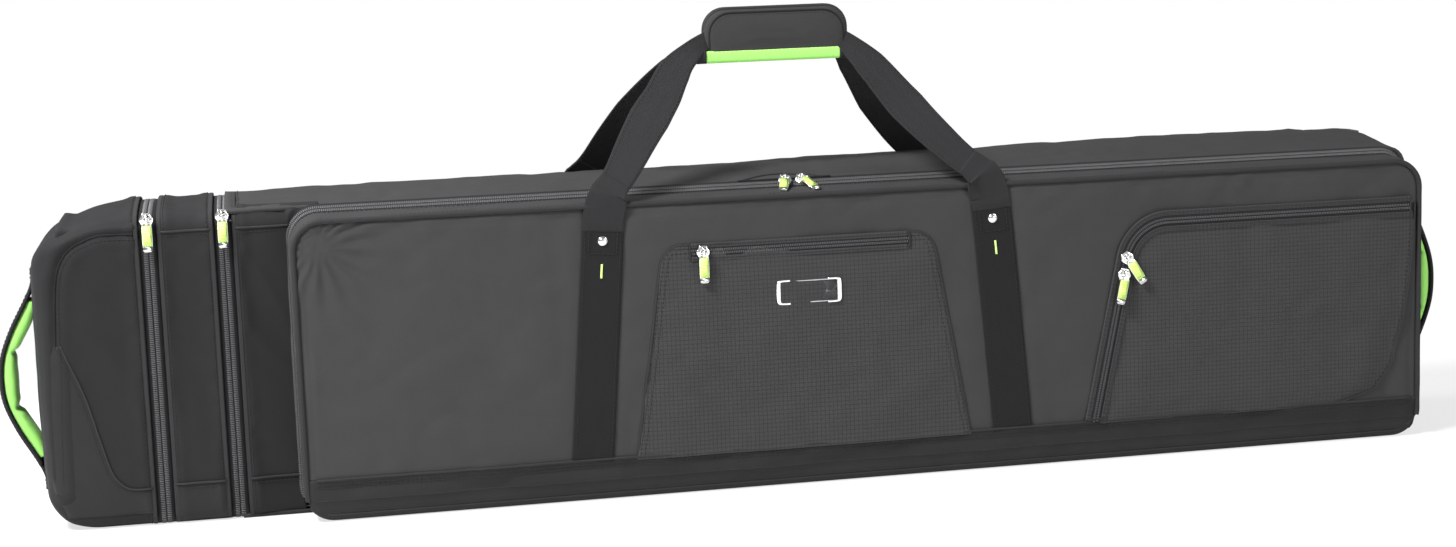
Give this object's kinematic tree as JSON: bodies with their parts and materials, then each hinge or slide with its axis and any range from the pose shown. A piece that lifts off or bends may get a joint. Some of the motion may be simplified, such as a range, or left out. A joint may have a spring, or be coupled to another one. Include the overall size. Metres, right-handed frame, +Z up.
{
  "type": "snowboard bag",
  "caption": "Long wheeled padded bag with a full-length zip lid, fold-out end sections, webbing carry handles with a wrapped grip, end grab handles and outer pockets.",
  "frame": {"origin": "centre of the base on the ground, with the bag standing on its long narrow side", "axes": "+X along the bag towards the wheels, the lid faces -Y, +Z up"},
  "size_m": [1.829, 0.27, 0.5805],
  "materials": {
    "shell_fabric": "coated polyester with a fine weave, matt",
    "ripstop_fabric": "light ripstop, matt",
    "base_fabric": "heavy coated base fabric",
    "webbing": "ribbed polyester webbing",
    "grip_fabric": "padded knit",
    "lime_fabric": "lime green woven trim",
    "gusset_fabric": "thin dark fold-out gusset",
    "zip_coil": "nylon coil zip",
    "nickel": "bright nickel",
    "pull_trim": "yellow-lime moulded pull in a nickel frame",
    "board_plastic": "extruded sheet",
    "housing_plastic": "moulded, fine spark texture",
    "tyre": "cast polyurethane",
    "hub_plastic": "moulded",
    "steel": "plated steel",
    "buckle_plastic": "moulded",
    "plate_metal": "dark brushed plate"
  },
  "bodies": {
    "shell": {"back_panel": "ripstop_fabric", "top_panel": "shell_fabric", "base_panel": "base_fabric", "right_end_panel": "shell_fabric", "front_strip": "shell_fabric", "stiffener_board": "board_plastic", "zip_garage": "shell_fabric", "main_chain_shell": "zip_coil", "rear_webbing": "webbing", "rear_rivets": "nickel", "shell_expansion_chain": "zip_coil", "shell_gusset_fold": "gusset_fabric", "wheel_housing_upper": "housing_plastic", "wheel_housing_lower": "housing_plastic", "axles": "steel", "tie_straps": "webbing", "buckle_sockets": "buckle_plastic"},
    "lid": {"lid_panel": "shell_fabric", "lid_gusset": "shell_fabric", "main_chain_lid": "zip_coil", "lid_webbing": "webbing", "lid_rivets": "nickel", "centre_pocket": "shell_fabric", "centre_pocket_chain": "zip_coil", "name_plate": "plate_metal", "right_pocket": "ripstop_fabric", "right_pocket_chain": "zip_coil"},
    "front_handle": {"front_handle_webbing": "webbing"},
    "grip_flap": {"grip_front_pad": "grip_fabric"},
    "rear_handle": {"rear_handle_webbing": "webbing", "grip_rear_pad": "grip_fabric"},
    "band": {"band_sleeve": "shell_fabric", "band_chains": "zip_coil", "band_gusset_fold": "gusset_fabric"},
    "end_cap": {"cap_sleeve": "shell_fabric", "cap_chain": "zip_coil"},
    "left_grab": {"left_end_handle": "webbing"},
    "right_grab": {"right_end_handle": "webbing"},
    "upper_wheel": {"tyre_upper": "tyre", "hub_upper": "hub_plastic", "bearings_upper": "steel"},
    "lower_wheel": {"tyre_lower": "tyre", "hub_lower": "hub_plastic", "bearings_lower": "steel"},
    "left_buckle_insert": {"buckle_insert_left": "buckle_plastic"},
    "right_buckle_insert": {"buckle_insert_right": "buckle_plastic"},
    "main_left_slider": {"main_left_slider": "nickel"},
    "main_left_pull": {"main_left_pull": "pull_trim"},
    "main_right_slider": {"main_right_slider": "nickel"},
    "main_right_pull": {"main_right_pull": "pull_trim"},
    "outer_expansion_slider": {"outer_expansion_slider": "nickel"},
    "outer_expansion_pull": {"outer_expansion_pull": "pull_trim"},
    "inner_expansion_slider": {"inner_expansion_slider": "nickel"},
    "inner_expansion_pull": {"inner_expansion_pull": "pull_trim"},
    "centre_pocket_slider": {"centre_pocket_slider": "nickel"},
    "centre_pocket_pull": {"centre_pocket_pull": "pull_trim"},
    "right_pocket_upper_slider": {"right_pocket_upper_slider": "nickel"},
    "right_pocket_upper_pull": {"right_pocket_upper_pull": "pull_trim"},
    "right_pocket_lower_slider": {"right_pocket_lower_slider": "nickel"},
    "right_pocket_lower_pull": {"right_pocket_lower_pull": "pull_trim"}
  },
  "joints": [
    {"name": "lid_opening", "type": "hinge", "parent": "shell", "child": "lid", "pos_m": [0, -0.116, 0.018], "axis": [1, 0, 0], "range_deg": [0, 90]},
    {"name": "front_handle_fall", "type": "hinge", "parent": "lid", "child": "front_handle", "pos_m": [0, -0.1215, 0.362], "axis": [-1, 0, 0], "range_deg": [-195, 0]},
    {"name": "grip_flap_opening", "type": "hinge", "parent": "front_handle", "child": "grip_flap", "pos_m": [0, -0.0155, 0.517], "axis": [1, 0, 0], "range_deg": [0, 150]},
    {"name": "rear_handle_fall", "type": "hinge", "parent": "shell", "child": "rear_handle", "pos_m": [0, 0.1215, 0.362], "axis": [-1, 0, 0], "range_deg": [0, 190]},
    {"name": "band_extension", "type": "slide", "parent": "shell", "child": "band", "axis": [-1, 0, 0], "range_m": [0, 0.095]},
    {"name": "cap_extension", "type": "slide", "parent": "band", "child": "end_cap", "axis": [-1, 0, 0], "range_m": [0, 0.095]},
    {"name": "left_grab_swing", "type": "hinge", "parent": "end_cap", "child": "left_grab", "pos_m": [-0.866, 0.0265, 0.172], "axis": [0, 0, 1], "range_deg": [-35, 35]},
    {"name": "right_grab_swing", "type": "hinge", "parent": "shell", "child": "right_grab", "pos_m": [0.866, -0.033, 0.191], "axis": [0, 0, 1], "range_deg": [-35, 35]},
    {"name": "upper_wheel_spin", "type": "hinge", "parent": "shell", "child": "upper_wheel", "pos_m": [0.826, 0.102, 0.357], "axis": [0, 0, 1], "continuous": true},
    {"name": "lower_wheel_spin", "type": "hinge", "parent": "shell", "child": "lower_wheel", "pos_m": [0.826, 0.102, 0.023], "axis": [0, 0, 1], "continuous": true},
    {"name": "left_buckle_release", "type": "slide", "parent": "shell", "child": "left_buckle_insert", "axis": [0, 0, 1], "range_m": [0, 0.024]},
    {"name": "right_buckle_release", "type": "slide", "parent": "shell", "child": "right_buckle_insert", "axis": [0, 0, 1], "range_m": [0, 0.024]},
    {"name": "main_left_zip", "type": "slide", "parent": "shell", "child": "main_left_slider", "axis": [-1, 0, 0], "range_m": [0, 0.545]},
    {"name": "main_right_zip", "type": "slide", "parent": "shell", "child": "main_right_slider", "axis": [1, 0, 0], "range_m": [0, 0.748]},
    {"name": "outer_expansion_zip", "type": "slide", "parent": "band", "child": "outer_expansion_slider", "axis": [0, 0, -1], "range_m": [0, 0.305]},
    {"name": "inner_expansion_zip", "type": "slide", "parent": "shell", "child": "inner_expansion_slider", "axis": [0, 0, -1], "range_m": [0, 0.305]},
    {"name": "centre_pocket_zip", "type": "slide", "parent": "lid", "child": "centre_pocket_slider", "axis": [1, 0, 0], "range_m": [0, 0.235]},
    {"name": "right_pocket_upper_zip", "type": "hinge", "parent": "lid", "child": "right_pocket_upper_slider", "pos_m": [0.51046, -0.1195, 0.244], "axis": [0, 1, 0], "range_deg": [0, 78]},
    {"name": "right_pocket_lower_zip", "type": "slide", "parent": "lid", "child": "right_pocket_lower_slider", "axis": [-0.2079, 0, -0.9781], "range_m": [0, 0.165]},
    {"name": "main_left_pull_swing", "type": "hinge", "parent": "main_left_slider", "child": "main_left_pull", "pos_m": [0.036, -0.068, 0.3745], "axis": [-1, 0, 0], "range_deg": [0, 150]},
    {"name": "main_right_pull_swing", "type": "hinge", "parent": "main_right_slider", "child": "main_right_pull", "pos_m": [0.057, -0.068, 0.3745], "axis": [-1, 0, 0], "range_deg": [0, 150]},
    {"name": "outer_expansion_pull_swing", "type": "hinge", "parent": "outer_expansion_slider", "child": "outer_expansion_pull", "pos_m": [-0.726, -0.0715, 0.364], "axis": [-1, 0, 0], "range_deg": [0, 150]},
    {"name": "inner_expansion_pull_swing", "type": "hinge", "parent": "inner_expansion_slider", "child": "inner_expansion_pull", "pos_m": [-0.64, -0.0715, 0.364], "axis": [-1, 0, 0], "range_deg": [0, 150]},
    {"name": "centre_pocket_pull_swing", "type": "hinge", "parent": "centre_pocket_slider", "child": "centre_pocket_pull", "pos_m": [-0.08, -0.1275, 0.295], "axis": [-1, 0, 0], "range_deg": [0, 150]},
    {"name": "right_pocket_upper_pull_swing", "type": "hinge", "parent": "right_pocket_upper_slider", "child": "right_pocket_upper_pull", "pos_m": [0.45667, -0.1275, 0.25544], "axis": [-0.848, 0, -0.5299], "range_deg": [0, 150]},
    {"name": "right_pocket_lower_pull_swing", "type": "hinge", "parent": "right_pocket_lower_slider", "child": "right_pocket_lower_pull", "pos_m": [0.4523, -0.1275, 0.23489], "axis": [-0.9781, 0, 0.2079], "range_deg": [0, 150]}
  ]
}
